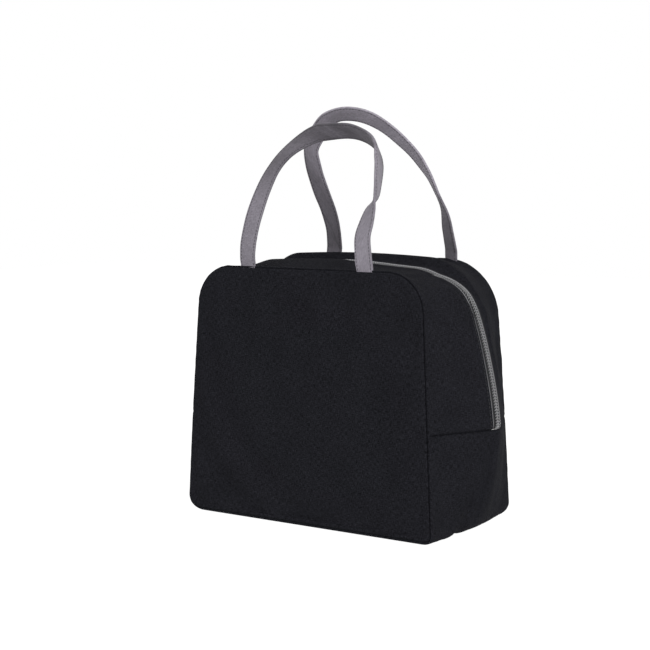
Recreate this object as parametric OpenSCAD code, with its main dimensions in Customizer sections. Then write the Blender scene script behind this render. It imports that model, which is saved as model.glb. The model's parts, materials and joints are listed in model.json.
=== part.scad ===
// Soft insulated lunch bag: two leaning end panels joined by a gusset that swells
// outwards, a zip round the upper three sides, and two strap handles.
// Millimetres. X runs along the front panel, the front faces -Y, the floor is z = 0.
// Every wall is three layers: woven outer, foam, wipe-clean lining.
// The zip opens both halves of the top, so each wall is cut once, at the fold line.

/* [Body] */
// Width of a panel along its bottom edge
base_w = 254; // [200:1:280]
// Width of a panel along its top edge
top_w = 229; // [180:1:260]
// Height of the front panel
front_h = 220; // [200:1:220]
// Height of the back panel, a little taller than the front
back_h = 225; // [220:1:266]
// Distance between the panels at the floor
base_d = 136; // [120:1:180]
// Distance between the panels at the top
top_d = 124; // [110:1:180]
// Radius of the front panel's top corners
front_r = 34; // [25:1:50]
// Radius of the back panel's top corners
back_r = 50; // [25:1:56]
// Radius of the panels' bottom corners
bottom_r = 14; // [8:1:24]

/* [Swell of the gusset] */
// How far the sides stand out between the panels, as a share of the half width
side_swell = 0.25; // [0.05:0.005:0.3]
// Share of the side swell that is left at the floor
floor_swell = 0.05; // [0:0.01:1]
// Height at which the swell of the sides has died away
swell_end = 217; // [200:1:220]
// How far the top stands up between the panels
crown = 3.4; // [0:0.1:8]
// Half the width over which the top crown stays raised
crown_half = 78; // [60:1:100]
// Roundness of the swell from panel to panel: 2 is a parabola, 1 is a ridge
swell_power = 1.1; // [1:0.1:3]
// Roundness of the swell above the seam: 1 is a cosine, less is fuller
swell_fade = 0.64; // [0.6:0.02:1.2]

/* [Seams] */
// Height of the seam where the upper strips meet the lower gusset
seam_z = 89; // [60:1:100]
// Height of the line where the opened halves fold
fold_z = 112; // [100:1:130]

/* [Cloth layers] */
// Thickness of the woven outer
outer_t = 1.2; // [0.8:0.1:2]
// Thickness of the foam
foam_t = 4; // [2:0.5:6]
// Thickness of the lining
lining_t = 0.6; // [0.4:0.1:1]
// Width of the tape that binds the inner seams
binding_w = 8; // [5:1:10]
// Thickness of the tape that binds the inner seams
binding_t = 1; // [0.6:0.1:1.4]

/* [Zip] */
// Half the gap between the two strips of cloth that frame the zip
zip_gap = 5; // [4:0.5:8]
// Half the slot that the slider's bridge runs in
zip_slot = 0.9; // [0.8:0.1:1.2]
// Width of one half of the coil
coil_w = 2.5; // [2:0.1:3]
// Thickness of the coil
coil_t = 1.4; // [1:0.1:1.8]
// How far the tape runs in under the strip, from the middle of the zip
tape_w = 12; // [8:0.5:12]
// Thickness of the zip tape
tape_t = 0.6; // [0.4:0.1:0.8]
// Length of the slider body
slider_l = 14; // [10:0.5:16]
// Width of the slider body
slider_w = 9; // [8:0.5:10]
// Length of the pull tab from its pivot
pull_l = 23; // [18:1:30]
// Width of the pull tab
pull_w = 7; // [6:0.5:9]

/* [Handles] */
// Width of the strap
strap_w = 17; // [14:1:20]
// Thickness of the strap
strap_t = 2.6; // [2:0.1:3.5]
// Lean of the handles towards the middle, in degrees
handle_lean = 23.6; // [20:0.1:26]

/* [Hidden] */

FRONT = -1;
BACK = 1;
layer_gap = 0.55;     // clearance between neighbouring layers of cloth
fit = 0.4;            // clearance round the slider and its pull
fold_gap = 0.15;      // half the gap at the fold line
side_slope = (base_w - top_w) / 2 / front_h;
side_angle = atan(side_slope);
panel_slope = (base_d - top_d) / 2 / front_h;
panel_angle = atan(panel_slope);

// Depth of each layer's faces below the outside of the cloth
foam_in = outer_t + layer_gap;
lining_in = foam_in + foam_t + layer_gap;
inside_in = lining_in + lining_t + layer_gap;
// Distance from a panel's outside to the edge of each gusset layer
outer_edge = outer_t + layer_gap;
foam_edge = lining_in;
lining_edge = inside_in;

// Mesh steps
SIDE_STEPS = 5;
ARC_STEPS = 10;
TOP_STEPS = 5;
BASE_STEPS = 4;
GUSSET_STEPS = 14;
STRIP_STEPS = 7;

FABRIC = [0.13, 0.135, 0.14];
LINING = [0.72, 0.74, 0.76];
FOAM = [0.92, 0.92, 0.9];
TAPE = [0.35, 0.34, 0.36];
STRAP = [0.46, 0.44, 0.47];
METAL = [0.42, 0.42, 0.44];

// ---------- shape of the bag ----------

function mix(a, b, t) = a + (b - a) * t;

// Half the distance between the panels at a height
function half_depth(z) = base_d / 2 - panel_slope * z;

// Half the width of a panel at a height, d in from its edge
function half_width(z, d) = base_w / 2 - side_slope * z - d / cos(side_angle);

// The side swell grows from the floor to the level seam and dies away at the shoulders
function swell_at(z) =
    let (low = mix(floor_swell, 1, sin(90 * max(0, min(1, z / seam_z)))),
         high = cos(90 * max(0, min(1, (z - seam_z) / (swell_end - seam_z)))))
    low * pow(high, swell_fade);

// Radius of the top corners of an outline of height h
function corner_at(h) = mix(front_r, back_r, (h - front_h) / max(1, back_h - front_h));

// Left half of the upper outline, from z0 up to the middle of the top
function upper_half(h, d, z0) =
    let (full = corner_at(h), zc = h - full, xc = half_width(zc, 0) - full / cos(side_angle), r = full - d)
    [for (i = [0 : SIDE_STEPS - 1])
        let (z = mix(z0, zc, i / SIDE_STEPS)) [-half_width(z, d), z],
     for (i = [0 : ARC_STEPS])
        let (a = mix(180 - side_angle, 90, i / ARC_STEPS)) [-xc + r * cos(a), zc + r * sin(a)],
     for (i = [1 : TOP_STEPS]) [-xc * (1 - i / TOP_STEPS), h - d]];

// Left half of the lower outline, from z1 down to the middle of the bottom
function lower_half(d, z1) =
    let (r = max(bottom_r - d, 1), zc = d + r, xc = half_width(zc, d) - r / cos(side_angle))
    [for (i = [0 : SIDE_STEPS - 1])
        let (z = mix(z1, zc, i / SIDE_STEPS)) [-half_width(z, d), z],
     for (i = [0 : ARC_STEPS])
        let (a = mix(180 - side_angle, 270, i / ARC_STEPS)) [-xc + r * cos(a), zc + r * sin(a)],
     for (i = [1 : BASE_STEPS]) [-xc * (1 - i / BASE_STEPS), d]];

// Short stretch of the left side between two heights
function side_half(d, z0, z1) = [for (z = [z0, (z0 + z1) / 2, z1]) [-half_width(z, d), z]];

function mirrored(half) = [for (i = [len(half) - 2 : -1 : 0]) [-half[i][0], half[i][1]]];

// Height of the top at a place between the front panel (-1) and the back panel (1)
function top_at(v) = mix(front_h, back_h, (v + 1) / 2);

// Point of the swollen gusset for outline point q, inset d, at depth y
function gusset_point(q, y, h, d) =
    let (v = y / half_depth(q[1]),
         w = 1 - pow(min(1, abs(v)), swell_power),
         rise = max(0, (q[1] - h + corner_at(h)) / (corner_at(h) - d)))
    [q[0] * (1 + side_swell * swell_at(q[1]) * w),
     y,
     q[1] + crown * w * rise * rise * (1 - pow(q[0] / crown_half, 2))];

// Depth of a strip's column t, from 0 at the start to 1 at mid from the middle.
// A negative start is measured in from the panel, a positive one from the middle.
function strip_y(side, z, start, mid, t) =
    side * mix(start < 0 ? half_depth(z) + start : start, mid, t);

// Closed band between two point grids of rows x cols points
module shell(outside, inside) {
    rows = len(outside);
    cols = len(outside[0]);
    n = rows * cols;
    function at(i, j) = i * cols + j;
    points = [for (row = outside) each row, for (row = inside) each row];
    quads = [
        for (i = [0 : rows - 2], j = [0 : cols - 2])
            [at(i, j), at(i, j + 1), at(i + 1, j + 1), at(i + 1, j)],
        for (i = [0 : rows - 2], j = [0 : cols - 2])
            [n + at(i + 1, j), n + at(i + 1, j + 1), n + at(i, j + 1), n + at(i, j)],
        for (i = [0 : rows - 2])
            [at(i + 1, 0), n + at(i + 1, 0), n + at(i, 0), at(i, 0)],
        for (i = [0 : rows - 2])
            [at(i, cols - 1), n + at(i, cols - 1), n + at(i + 1, cols - 1), at(i + 1, cols - 1)],
        for (j = [0 : cols - 2])
            [at(0, j), n + at(0, j), n + at(0, j + 1), at(0, j + 1)],
        for (j = [0 : cols - 2])
            [at(rows - 1, j + 1), n + at(rows - 1, j + 1), n + at(rows - 1, j), at(rows - 1, j)]];
    faces = [for (q = quads) each [[q[0], q[1], q[2]], [q[0], q[2], q[3]]]];
    polyhedron(points, faces);
}

// Grid of points for the whole lower gusset, edge in from both panels
function gusset_grid(d, z1, edge, steps) =
    let (half = lower_half(d, z1), line = concat(half, mirrored(half)))
    [for (j = [0 : steps])
        [for (q = line)
            gusset_point(q, mix(-1, 1, j / steps) * (half_depth(q[1]) - edge), front_h, d)]];

// Grid of points for one upper strip, or for the two short ends of one
function strip_grid(side, d, z0, start, mid, steps) =
    [for (j = [0 : steps])
        let (t = j / steps,
             h = top_at(strip_y(side, front_h, start, mid, t) / half_depth(front_h)),
             half = upper_half(h, d, z0))
        [for (q = concat(half, mirrored(half)))
            gusset_point(q, strip_y(side, q[1], start, mid, t), h, d)]];

function end_grid(side, d, z0, z1, start, mid, steps) =
    [for (j = [0 : steps])
        [for (q = side_half(d, z0, z1))
            gusset_point(q, strip_y(side, q[1], start, mid, j / steps), front_h, d)]];

module gusset_layer(d0, d1, edge) {
    top = seam_z - fold_gap;
    shell(gusset_grid(d0, top, edge, GUSSET_STEPS), gusset_grid(d1, top, edge, GUSSET_STEPS));
}

// The columns of a back band run the other way, so its two skins change places
module strip_layer(side, d0, d1, start, mid, steps = STRIP_STEPS) {
    z0 = fold_z + fold_gap;
    outside = strip_grid(side, side == FRONT ? d0 : d1, z0, start, mid, steps);
    inside = strip_grid(side, side == FRONT ? d1 : d0, z0, start, mid, steps);
    shell(outside, inside);
}

// The two short ends, left and right, that stay on the lower half
module end_layer(side, d0, d1, start, mid, steps = STRIP_STEPS) {
    z0 = seam_z + fold_gap;
    z1 = fold_z - fold_gap;
    for (turn = [0, 1]) {
        mirror([turn, 0, 0])
            shell(end_grid(side, side == FRONT ? d0 : d1, z0, z1, start, mid, steps),
                  end_grid(side, side == FRONT ? d1 : d0, z0, z1, start, mid, steps));
    }
}

// ---------- flat panels ----------

// Puts a flat outline on the leaning panel, depth in from its outside face
module on_panel(side, depth, thick) {
    mirror([0, side == BACK ? 1 : 0, 0])
        translate([0, -base_d / 2, 0])
            rotate([90 - panel_angle, 0, 0])
                translate([0, 0, -depth - thick])
                    linear_extrude(thick) children();
}

module lower_outline(d) {
    half = lower_half(d, fold_z - fold_gap);
    polygon(concat(half, mirrored(half)));
}

module upper_outline(h, d) {
    half = upper_half(h, d, fold_z + fold_gap);
    polygon(concat(half, mirrored(half)));
}

function panel_height(side) = side == FRONT ? front_h : back_h;

module panel_lower(side, depth, thick, d) {
    on_panel(side, depth, thick) lower_outline(d);
}

module panel_upper(side, depth, thick, d) {
    on_panel(side, depth, thick) upper_outline(panel_height(side), d);
}

// The inner seam tape is a flat border round the inside of a panel
module binding_lower(side) {
    color(TAPE) on_panel(side, inside_in, binding_t) difference() {
        lower_outline(inside_in);
        translate([0, layer_gap]) lower_outline(inside_in + binding_w);
    }
}

module binding_upper(side) {
    color(TAPE) on_panel(side, inside_in, binding_t) difference() {
        upper_outline(panel_height(side), inside_in);
        translate([0, -layer_gap]) upper_outline(panel_height(side), inside_in + binding_w);
    }
}

// ---------- cloth nodes ----------

module base_gusset() { color(FABRIC) gusset_layer(0, outer_t, outer_edge); }
module gusset_foam() { color(FOAM) gusset_layer(foam_in, foam_in + foam_t, foam_edge); }
module gusset_lining() { color(LINING) gusset_layer(lining_in, lining_in + lining_t, lining_edge); }

module panel_lower_outer(side) { color(FABRIC) panel_lower(side, 0, outer_t, 0); }
module panel_lower_foam(side) { color(FOAM) panel_lower(side, foam_in, foam_t, foam_in); }
module panel_lower_lining(side) { color(LINING) panel_lower(side, lining_in, lining_t, lining_in); }
module panel_upper_outer(side) { color(FABRIC) panel_upper(side, 0, outer_t, 0); }
module panel_upper_foam(side) { color(FOAM) panel_upper(side, foam_in, foam_t, foam_in); }
module panel_upper_lining(side) { color(LINING) panel_upper(side, lining_in, lining_t, lining_in); }

module strip_outer(side) { color(FABRIC) strip_layer(side, 0, outer_t, -outer_edge, zip_gap); }
module strip_foam(side) {
    color(FOAM) strip_layer(side, foam_in, foam_in + foam_t, -foam_edge, tape_w + 1);
}
module strip_lining(side) {
    color(LINING) strip_layer(side, lining_in, lining_in + lining_t, -lining_edge, zip_gap);
}
// The ends keep their foam and lining in one node, the outer cloth with them
module strip_ends(side) {
    color(FABRIC) end_layer(side, 0, outer_t, -outer_edge, zip_gap);
    color(FOAM) end_layer(side, foam_in, foam_in + foam_t, -foam_edge, tape_w + 1);
    color(LINING) end_layer(side, lining_in, lining_in + lining_t, -lining_edge, zip_gap);
}

// ---------- zip ----------

module zip_tape(side) {
    color(TAPE) strip_layer(side, foam_in, foam_in + tape_t, tape_w, zip_slot, 2);
}

module zip_coil(side) {
    color(TAPE) strip_layer(side, outer_t - coil_t, outer_t, zip_slot + coil_w, zip_slot, 2);
}

// Slider frame: origin on the coil's middle, +Z up the chain, -X out of the bag
slider_z = 99;
function chain_x(z) = half_width(z, 0) * (1 + side_swell * swell_at(z));
slider_lean = atan((chain_x(slider_z - 2) - chain_x(slider_z + 2)) / 4);
plate_t = 1.2;
plate_gap = 1.4;      // running gap between the plates and the coil or tape
top_plate = coil_t - outer_t + plate_gap;
side_drop = side_swell * half_width(slider_z, 0) * pow(slider_w / 2 / half_depth(slider_z), swell_power);
low_plate = (foam_in + tape_t) * (1 + side_swell) + side_drop + plate_gap / 2;
pin_r = 0.7;
tab_t = 1.2;
pin_out = top_plate + plate_t + tab_t / 2 + 0.15;   // the pull lies flat on the plate
eye_r = 1.9;
eye_w = 3;

module slider_frame() {
    translate([-chain_x(slider_z), 0, slider_z]) rotate([0, slider_lean, 0]) children();
}

// Block given by its limits in the slider frame; out is positive away from the bag
module slider_block(out0, out1, y, up0, up1) {
    translate([-out1, -y, up0]) cube([out1 - out0, 2 * y, up1 - up0]);
}

module slider_plate(out0, y) {
    translate([-out0, 0, 0]) rotate([0, -90, 0]) linear_extrude(plate_t)
        offset(r = 2.5) square([slider_l - 5, 2 * y - 5], center = true);
}

module slider_body() {
    color(METAL) slider_frame() {
        difference() {
            slider_plate(top_plate, slider_w / 2);
            slider_block(0, pin_out, eye_w / 2 + fit, -eye_r - 2 * fit, eye_r + 2 * fit);
        }
        slider_plate(-low_plate - plate_t, slider_w / 2 - 0.3);
        slider_block(-low_plate, top_plate, zip_slot - fit, -slider_l / 2 + 1, -slider_l / 4);
        for (side = [-1, 1]) {
            translate([0, side * (eye_w / 2 + fit + 0.5), 0])
                slider_block(top_plate, pin_out + pin_r + 0.2, 0.5, -1, 1);
        }
        translate([-pin_out, 0, 0]) rotate([90, 0, 0])
            cylinder(h = eye_w + 4 * fit, r = pin_r, center = true, $fn = 32);
    }
}

// The pull hangs from its eye, flat against the slider, and carries a slot
module pull_tab() {
    color(METAL) slider_frame() translate([-pin_out, 0, 0]) difference() {
        union() {
            rotate([90, 0, 0]) cylinder(h = eye_w, r = eye_r, center = true, $fn = 40);
            rotate([0, -90, 0]) translate([0, 0, -tab_t / 2]) linear_extrude(tab_t) {
                translate([-pull_l / 3, 0]) square([pull_l * 2 / 3, eye_w], center = true);
                translate([-pull_l * 0.65, 0]) square([pull_l / 2, pull_w], center = true);
                translate([-pull_l * 0.9, 0]) circle(d = pull_w, $fn = 40);
            }
        }
        rotate([90, 0, 0]) cylinder(h = eye_w + 1, r = pin_r + 2 * fit, center = true, $fn = 40);
        rotate([0, -90, 0]) translate([0, 0, -tab_t]) linear_extrude(2 * tab_t) {
            translate([-pull_l * 0.72, 0]) square([pull_l * 0.36, pull_w * 0.4], center = true);
        }
    }
}

module zip_ends(depth, thick, width) {
    color(TAPE) for (side = [FRONT, BACK]) end_layer(side, depth, depth + thick, width, zip_slot, 2);
}

// ---------- handles ----------

// Route of each strap in its own leaning plane: [x, height above its seam, twist]
// The twist is the turn of the strap's width out of that plane, in degrees.
front_route = [[-62, 4, -4], [-67, 24, 6], [-68, 45, 10], [-66, 68, 5], [-60, 91, -5],
               [-47, 110, -8], [-26, 124, 18], [-8, 127, 48], [17, 126, 60], [40, 115, 68], [49, 98, 84],
               [53, 78, 76], [54, 66, 66], [52, 55, 28], [51, 42, 8], [51, 28, 2], [59, 4, 2]];
back_route = [[72, 4, 22], [73, 26, 26], [74, 46, 40], [70, 65, 46], [64, 85, 34], [51, 107, 20],
              [28, 129, 15], [4, 138, 16], [-20, 136, 30], [-36, 124, 18], [-50, 108, -4],
              [-53, 89, 8], [-52, 68, 12], [-49, 46, 6], [-49, 27, 0], [-54, 4, 2]];
STRAP_STEPS = 4;

// Catmull-Rom point between b and c
function curve(a, b, c, d, t) = 0.5 * (2 * b + (c - a) * t + (2 * a - 5 * b + 4 * c - d) * t * t
                                       + (3 * b - a - 3 * c + d) * t * t * t);

function route_point(route, i, t) =
    let (last = len(route) - 1)
    curve(route[max(0, i - 1)], route[i], route[min(last, i + 1)], route[min(last, i + 2)], t);

function smooth_route(route) = [
    for (i = [0 : len(route) - 2], s = [0 : STRAP_STEPS - 1]) route_point(route, i, s / STRAP_STEPS),
    route[len(route) - 1]];

// Four corners of the strap at one point, in the handle's plane (x, out of plane, up)
function strap_ring(line, i) =
    let (last = len(line) - 1,
         step = line[min(last, i + 1)] - line[max(0, i - 1)],
         ahead = [step[0], 0, step[1]] / norm([step[0], step[1]]),
         in_plane = [ahead[2], 0, -ahead[0]],
         turn = line[i][2],
         wide = in_plane * cos(turn) + [0, sin(turn), 0],
         thin = cross(ahead, wide),
         p = [line[i][0], 0, line[i][1]])
    [for (c = [[-1, -1], [1, -1], [1, 1], [-1, 1]])
        p + wide * c[0] * strap_w / 2 + thin * c[1] * strap_t / 2];

module strap(route) {
    line = smooth_route(route);
    last = len(line) - 1;
    points = [for (i = [0 : last]) each strap_ring(line, i)];
    sides = [for (i = [0 : last - 1], k = [0 : 3])
        let (a = 4 * i + k, b = 4 * i + (k + 1) % 4)
        each [[a, b, b + 4], [a, b + 4, a + 4]]];
    end = 4 * last;
    ends = [[0, 2, 1], [0, 3, 2], [end, end + 1, end + 2], [end, end + 2, end + 3]];
    polyhedron(points, concat(sides, ends));
}

module handle(side, route) {
    color(STRAP) translate([0, side * half_depth(panel_height(side)), panel_height(side)])
        mirror([0, side == BACK ? 1 : 0, 0])
            rotate([-handle_lean, 0, 0]) strap(route);
}

// ---------- nodes ----------

base_gusset();
panel_lower_outer(FRONT);  // front_panel_lower
panel_lower_outer(BACK);  // back_panel_lower
strip_ends(FRONT);  // front_strip_ends
strip_ends(BACK);  // back_strip_ends
gusset_foam();
panel_lower_foam(FRONT);  // front_foam_lower
panel_lower_foam(BACK);  // back_foam_lower
gusset_lining();
panel_lower_lining(FRONT);  // front_lining_lower
panel_lower_lining(BACK);  // back_lining_lower
binding_lower(FRONT);  // front_binding_lower
binding_lower(BACK);  // back_binding_lower
zip_ends(foam_in, tape_t, tape_w);  // zip_tape_ends
zip_ends(outer_t - coil_t, coil_t, zip_slot + coil_w);  // zip_coil_ends
panel_upper_outer(FRONT);  // front_panel_upper
strip_outer(FRONT);  // front_strip
panel_upper_foam(FRONT);  // front_foam_upper
strip_foam(FRONT);  // front_strip_foam
panel_upper_lining(FRONT);  // front_lining_upper
strip_lining(FRONT);  // front_strip_lining
binding_upper(FRONT);  // front_binding_upper
zip_tape(FRONT);  // zip_tape_front
zip_coil(FRONT);  // zip_coil_front
panel_upper_outer(BACK);  // back_panel_upper
strip_outer(BACK);  // back_strip
panel_upper_foam(BACK);  // back_foam_upper
strip_foam(BACK);  // back_strip_foam
panel_upper_lining(BACK);  // back_lining_upper
strip_lining(BACK);  // back_strip_lining
binding_upper(BACK);  // back_binding_upper
zip_tape(BACK);  // zip_tape_back
zip_coil(BACK);  // zip_coil_back
handle(FRONT, front_route);  // front_handle
handle(BACK, back_route);  // back_handle
slider_body();
pull_tab();
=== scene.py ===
import json
import math

import bpy
import numpy as np
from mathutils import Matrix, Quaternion, Vector


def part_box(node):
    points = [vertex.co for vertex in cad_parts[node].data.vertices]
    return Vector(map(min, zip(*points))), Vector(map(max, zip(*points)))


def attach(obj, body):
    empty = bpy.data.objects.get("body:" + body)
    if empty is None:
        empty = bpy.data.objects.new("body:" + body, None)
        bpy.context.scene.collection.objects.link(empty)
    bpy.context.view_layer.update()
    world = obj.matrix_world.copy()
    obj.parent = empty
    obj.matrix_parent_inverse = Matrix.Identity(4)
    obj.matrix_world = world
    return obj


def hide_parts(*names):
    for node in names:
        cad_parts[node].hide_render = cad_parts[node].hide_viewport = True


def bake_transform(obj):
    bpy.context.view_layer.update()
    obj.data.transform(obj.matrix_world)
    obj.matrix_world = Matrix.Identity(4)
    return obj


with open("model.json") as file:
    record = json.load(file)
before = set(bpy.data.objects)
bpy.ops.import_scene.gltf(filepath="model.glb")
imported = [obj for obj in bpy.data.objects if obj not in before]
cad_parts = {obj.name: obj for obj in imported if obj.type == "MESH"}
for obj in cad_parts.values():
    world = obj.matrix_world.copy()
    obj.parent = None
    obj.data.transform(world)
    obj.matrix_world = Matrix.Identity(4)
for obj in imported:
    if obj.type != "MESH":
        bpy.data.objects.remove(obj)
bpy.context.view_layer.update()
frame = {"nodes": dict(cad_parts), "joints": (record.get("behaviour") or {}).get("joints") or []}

# ---- sizes, in millimetres
MM = 0.001


def reach(name, axis, end):
    """One face of a CAD node's box. end is 0 for the low face and 1 for the high one."""
    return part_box(name)[end][axis] / MM


FRONT, BACK = -1, 1
SIDES = (FRONT, BACK)
NAMES = {FRONT: "front", BACK: "back"}

PANEL_H = {side: reach(f"{NAMES[side]}_panel_upper", 2, 1) for side in SIDES}
FRONT_H, BACK_H = PANEL_H[FRONT], PANEL_H[BACK]
SEAM_Z = round(reach("base_gusset", 2, 1))
FOLD_Z = frame["joints"][0]["pos_m"][2] / MM
BASE_HALF_D = reach("back_panel_lower", 1, 1)
PANEL_SLOPE = (BASE_HALF_D - reach("back_panel_upper", 1, 1)) / FOLD_Z
BASE_HALF_W, TOP_HALF_W = 127, 114.5
SIDE_SLOPE = (BASE_HALF_W - TOP_HALF_W) / FRONT_H
SIDE_ANGLE = math.atan(SIDE_SLOPE)
FRONT_R, BACK_R = 34, 50
BOTTOM_R, SQUASHED_R = 14, 8
SIDE_SWELL, FLOOR_SWELL = 0.25, 0.13
SWELL_POWER, SWELL_END, SWELL_FADE, SWELL_SOFT = 1.1, 217, 0.64, 0.06 ** 2
CROWN, CROWN_HALF = 3.4, 78

# Layers of the walls: thickness, and depth inside the outer face. FOAM_EDGE trims the panels' foam
OUTER_T, FOAM_T, LINING_T, LAYER_GAP = 1.2, 4.0, 0.6, 0.55
FOAM_IN = OUTER_T + LAYER_GAP
LINING_IN = FOAM_IN + FOAM_T + LAYER_GAP
FOAM_EDGE = 5.5
INSIDE_IN = LINING_IN + LINING_T + LAYER_GAP
ZIP_GAP = 5.0
TAPE_W, TAPE_T = 12.0, 0.6

# Distances from a seam at which the cloth has a row of points of its own
NEAR_SEAM = [0, 0.5, 1.1, 1.9, 3.0, 4.5, 6.5]


# ---- shape of the bag
def smooth(t):
    t = np.clip(t, 0, 1)
    return t * t * (3 - 2 * t)


def unit(vectors):
    return vectors / np.maximum(np.linalg.norm(vectors, axis=-1, keepdims=True), 1e-9)


def half_depth(z):
    return BASE_HALF_D - PANEL_SLOPE * z


def half_width(z, inset=0.0):
    return BASE_HALF_W - SIDE_SLOPE * z - inset / math.cos(SIDE_ANGLE)


def corner_at(h):
    """Radius of the top corners of an outline of height h."""
    return FRONT_R + (BACK_R - FRONT_R) * (h - FRONT_H) / (BACK_H - FRONT_H)


def swell_at(z):
    """The side swell grows from the floor to the level seam and dies away at the shoulders."""
    low = FLOOR_SWELL + (1 - FLOOR_SWELL) * np.sin(np.pi / 2 * np.clip(z / SEAM_Z, 0, 1))
    fade = np.clip((z - SEAM_Z) / (SWELL_END - SEAM_Z), 0, 1)
    return low * np.clip(np.cos(np.pi / 2 * fade), 0, 1) ** SWELL_FADE


def arc(cx, cz, r, start, stop, steps):
    a = np.radians(np.linspace(start, stop, steps, endpoint=False))
    return np.stack([cx + r * np.cos(a), cz + r * np.sin(a)], 1)


def straight(a, b, steps):
    t = np.linspace(0, 1, steps, endpoint=False)[:, None]
    return np.array(a) * (1 - t) + np.array(b) * t


CORNER_STEPS, SHOULDER_STEPS = 4, 8
BASE_STEPS, TOP_STEPS = 40, 32
LOWER_STEPS, UPPER_STEPS = 12, 16


def side_heights(low, high):
    """Heights of the rows up one side, close together beside the level seam."""
    near = np.array(NEAR_SEAM)
    below = np.linspace(low, SEAM_Z - near[-1], LOWER_STEPS, endpoint=False)
    above = np.linspace(SEAM_Z + near[-1], high, UPPER_STEPS, endpoint=False)
    return np.concatenate([below, SEAM_Z - near[:0:-1], SEAM_Z + near[:-1], above])


def bottom_corner(r, inset):
    """Radius, centre height and centre half width of a bottom corner."""
    r = max(r - inset, 1.0)
    z = inset + r
    return r, z, half_width(z, inset) - r / math.cos(SIDE_ANGLE)


def outline(h, inset=0.0, right_r=BOTTOM_R):
    """Closed loop of [x, z] round a panel of height h, from the middle of the lower left corner."""
    lean = math.degrees(SIDE_ANGLE)
    rl, zl, xl = bottom_corner(BOTTOM_R, inset)
    rr, zr, xr = bottom_corner(right_r, inset)
    rt, zt = corner_at(h) - inset, h - corner_at(h)
    xt = half_width(zt) - corner_at(h) / math.cos(SIDE_ANGLE)
    top = zt + rt * math.sin(SIDE_ANGLE)
    up = side_heights(zr + rr * math.sin(SIDE_ANGLE), top)
    low = zl + rl * math.sin(SIDE_ANGLE)
    down = np.concatenate([[top], side_heights(low, top)[:0:-1]])
    return np.concatenate([
        arc(-xl, zl, rl, 225, 270, CORNER_STEPS),
        straight((-xl, inset), (xr, inset), BASE_STEPS),
        arc(xr, zr, rr, 270, 315, CORNER_STEPS),
        arc(xr, zr, rr, 315, 360 + lean, CORNER_STEPS),
        np.stack([half_width(up, inset), up], 1),
        arc(xt, zt, rt, lean, 45, SHOULDER_STEPS),
        arc(xt, zt, rt, 45, 90, SHOULDER_STEPS),
        straight((xt, h - inset), (-xt, h - inset), TOP_STEPS),
        arc(-xt, zt, rt, 90, 135, SHOULDER_STEPS),
        arc(-xt, zt, rt, 135, 180 - lean, SHOULDER_STEPS),
        np.stack([-half_width(down, inset), down], 1),
        arc(-xl, zl, rl, 180 - lean, 225, CORNER_STEPS)])


SIDE_COUNT = LOWER_STEPS + UPPER_STEPS + 2 * (len(NEAR_SEAM) - 1)
EDGE = 2 * CORNER_STEPS + BASE_STEPS
SIDE = CORNER_STEPS + SIDE_COUNT + SHOULDER_STEPS
LOOP = 2 * (EDGE + SIDE)
RIGHT_SEAM = EDGE + CORNER_STEPS + LOWER_STEPS + len(NEAR_SEAM) - 1
LEFT_SEAM = LOOP - CORNER_STEPS - LOWER_STEPS - len(NEAR_SEAM) + 1
UPPER_ROWS = np.arange(RIGHT_SEAM, LEFT_SEAM + 1)
LOWER_ROWS = np.arange(LEFT_SEAM, LOOP + RIGHT_SEAM + 1) % LOOP


def outward(loop):
    """Unit normals of a loop of [x, z], pointing out of the bag."""
    along = np.roll(loop, -1, 0) - np.roll(loop, 1, 0)
    return unit(np.stack([along[:, 1], -along[:, 0]], 1))


# Places of the gusset's columns from the zip to a panel, where a panel is MID_DEPTH from the zip
MID_DEPTH = 65
COLUMN_Y = [0, 1.5, 3, ZIP_GAP, 6.5, 8, 9.5, 11, 12.5, 14, 15.5, 17, 19, 22, 26, 30.5, 35,
            39.5, 44, 48.5, 53, 57.5] + [MID_DEPTH - e for e in NEAR_SEAM[::-1]]


# Distances from the zip at which the columns begin to follow the panel, and fully follow it
FOLLOW_FROM, FOLLOW_TO = 20, 57.5


def column(y):
    """(a, b) so that a column lies at a * half depth + b: it follows the zip first, then the panel."""
    a = min(1, max(0, (abs(y) - FOLLOW_FROM) / (FOLLOW_TO - FOLLOW_FROM)))
    return a, abs(y) - a * MID_DEPTH


COLUMNS = ([(FRONT, *column(y)) for y in COLUMN_Y[:0:-1]]
           + [(BACK, *column(y)) for y in COLUMN_Y])


# Foam ridges beside the zip, from the zip out: start, rise to the crest, fall away behind it
RIDGE_START, RIDGE_RISE, RIDGE_CREST, RIDGE_H = 11.5, 6.0, 17.0, 3.7
RIDGE_FALL = {FRONT: 34, BACK: 44}
# The front ridge is higher than usual on the left of the top and nearly flat on the right of it
FRONT_RIDGE_LEFT, FRONT_RIDGE_DROP, BACK_RIDGE_TOP = 0.6, 1.5, 1.3
# The zip lies in a valley: depth, half width of its floor, width of its slopes
VALLEY, VALLEY_FLOOR, VALLEY_SLOPE, FRONT_SLOPE = 1.1, 3.0, 12, 20
# On the right the zip runs low over the top and full at the shoulder
ZIP_LOW, ZIP_FULL = 1.7, 2.2


def slack(x, z):
    """1 at the top left shoulder, where the cloth hangs slack, down to 0 at the middle and below."""
    return smooth((-x - 66) / 30) * smooth((z - 150) / 60)


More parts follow.
